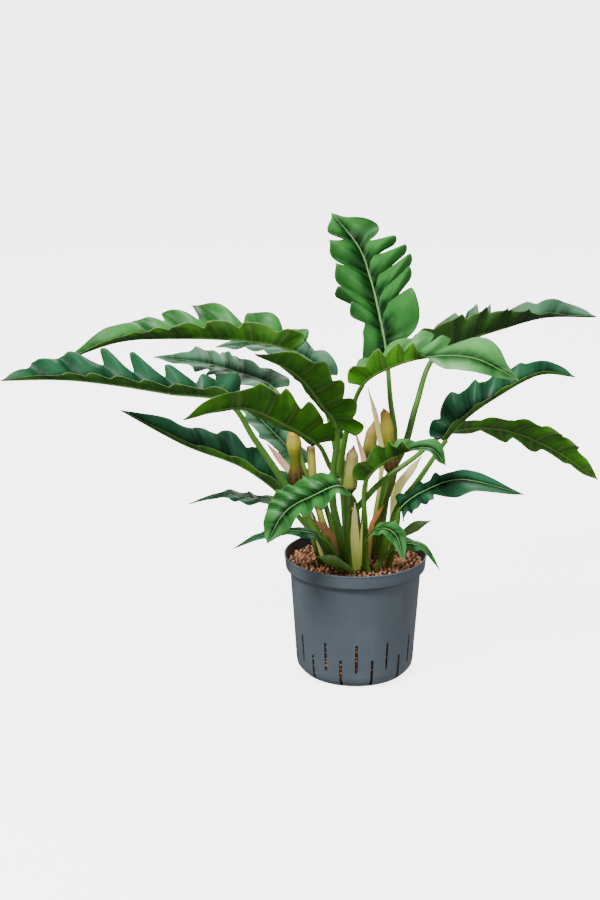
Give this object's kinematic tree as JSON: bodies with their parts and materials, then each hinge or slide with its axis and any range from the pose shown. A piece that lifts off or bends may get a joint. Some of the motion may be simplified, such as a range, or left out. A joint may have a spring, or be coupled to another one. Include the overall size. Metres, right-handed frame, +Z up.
{
  "type": "potted philodendron",
  "caption": "Philodendron with lobed arching leaves, spathes and sheaths, growing in granules in a slotted round culture pot.",
  "frame": {"origin": "middle of the pot's flat underside", "axes": "+Z up along the pot's axis, -Y towards the side that the plant shows in front, +X to the right seen from there"},
  "size_m": [0.9061, 0.4378, 0.6927],
  "materials": {
    "slate_plastic": "matt",
    "granules": "rough",
    "crown": "rough",
    "leaf": "waxy",
    "leaf_stalk": "smooth",
    "young_leaf": "waxy",
    "spathe": "smooth",
    "sheath": "papery",
    "dried_sheath": "papery",
    "cut_stalk": "smooth"
  },
  "bodies": {
    "root": {"pot": "slate_plastic", "substrate": "granules", "crown": "crown", "leaf_top": "leaf", "leaf_right_high": "leaf", "leaf_right_front": "leaf", "leaf_right_dark": "leaf", "leaf_right_low": "leaf", "leaf_right_small": "leaf", "leaf_middle": "leaf", "leaf_rim_front": "leaf", "leaf_left_front": "leaf", "leaf_left_curl": "leaf", "leaf_left_high": "leaf", "leaf_left_long": "leaf", "leaf_left_back": "leaf", "leaf_left_low": "leaf", "leaf_left_thin": "leaf", "leaf_front_drop": "leaf", "leaf_rim_left": "leaf", "leaf_rim_right": "leaf", "leaf_back_high": "leaf", "leaf_back_low": "leaf", "stalk_top": "leaf_stalk", "stalk_right_high": "leaf_stalk", "stalk_right_front": "leaf_stalk", "stalk_right_dark": "leaf_stalk", "stalk_right_low": "leaf_stalk", "stalk_right_small": "leaf_stalk", "stalk_middle": "leaf_stalk", "stalk_rim_front": "leaf_stalk", "stalk_left_front": "leaf_stalk", "stalk_left_curl": "leaf_stalk", "stalk_left_high": "leaf_stalk", "stalk_left_long": "leaf_stalk", "stalk_left_back": "leaf_stalk", "stalk_left_low": "leaf_stalk", "stalk_left_thin": "leaf_stalk", "stalk_front_drop": "leaf_stalk", "stalk_rim_left": "leaf_stalk", "stalk_rim_right": "leaf_stalk", "stalk_back_high": "leaf_stalk", "stalk_back_low": "leaf_stalk", "leaf_young_front": "young_leaf", "leaf_young_back": "young_leaf", "spathe_left": "spathe", "spathe_right": "spathe", "spathe_middle": "spathe", "spathe_back": "spathe", "sheath_pink_left": "sheath", "sheath_tall": "sheath", "sheath_thin_middle": "sheath", "sheath_cream_right": "sheath", "sheath_front": "sheath", "sheath_orange": "sheath", "sheath_pale_front": "sheath", "sheath_dried": "dried_sheath", "stub_tall": "cut_stalk", "stub_short": "cut_stalk"}
  },
  "joints": []
}
